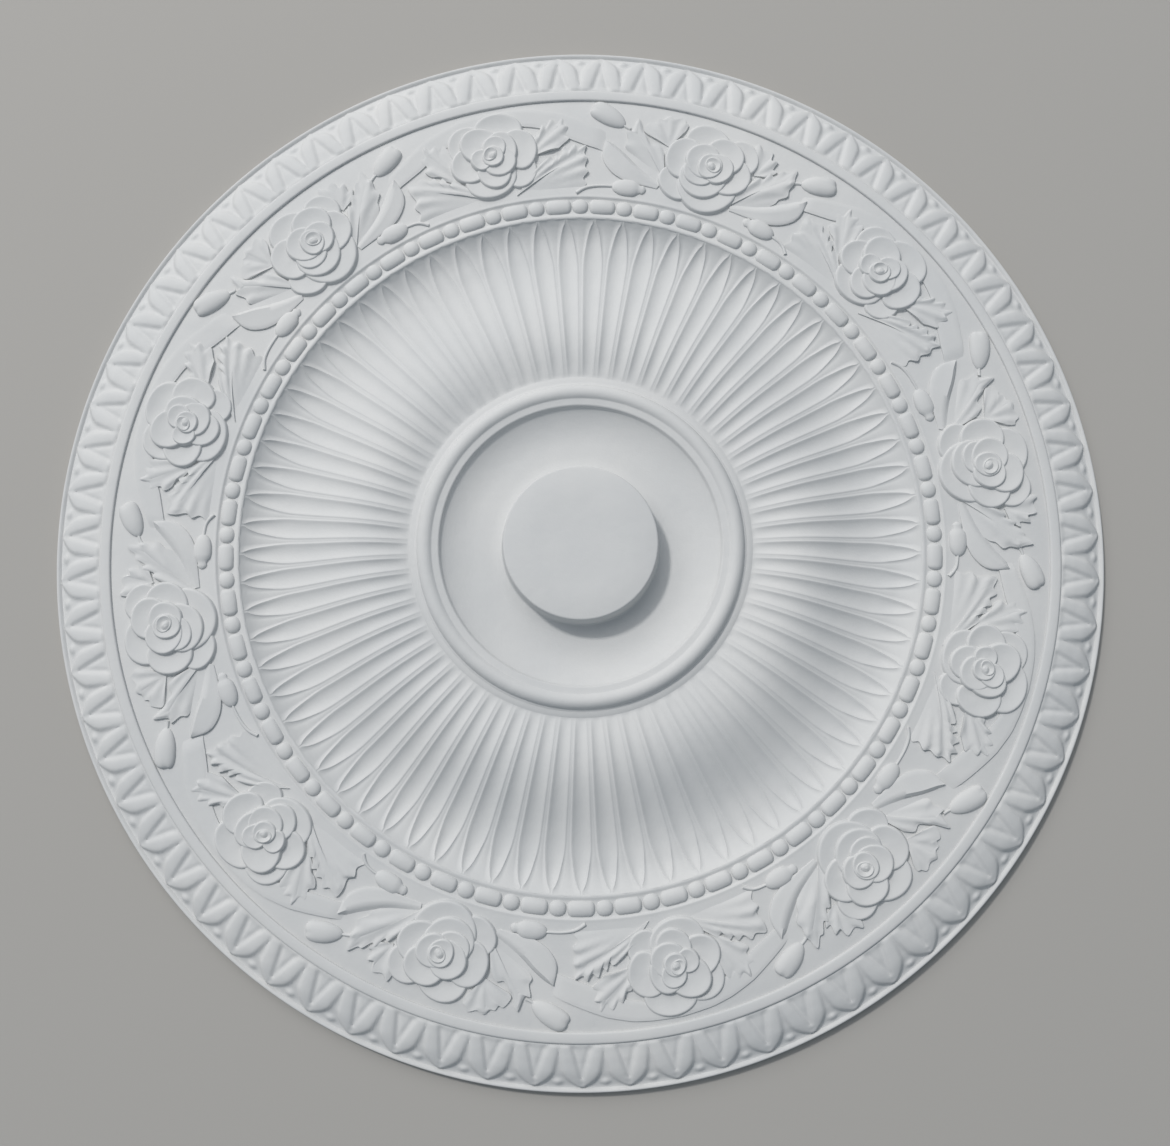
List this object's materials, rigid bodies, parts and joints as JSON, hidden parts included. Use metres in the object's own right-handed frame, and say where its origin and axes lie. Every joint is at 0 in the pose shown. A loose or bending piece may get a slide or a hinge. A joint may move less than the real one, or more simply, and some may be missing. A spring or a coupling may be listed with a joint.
{
  "type": "cast plaster ceiling rose",
  "caption": "Round cast plaster ceiling rose with a flat centre boss, a fluted dome, a bead-and-reel ring, a frieze of roses and leaves, and a leaf border.",
  "frame": {"origin": "centre of the flat back face, which is bedded on the ceiling", "axes": "+Z out of the decorated face along the axis of the rose, +X and +Y across the face"},
  "size_m": [0.8999, 0.9, 0.037],
  "materials": {
    "plaster": "matt cast plaster, unpainted"
  },
  "bodies": {
    "root": {"ceiling_rose": "plaster"}
  },
  "joints": []
}
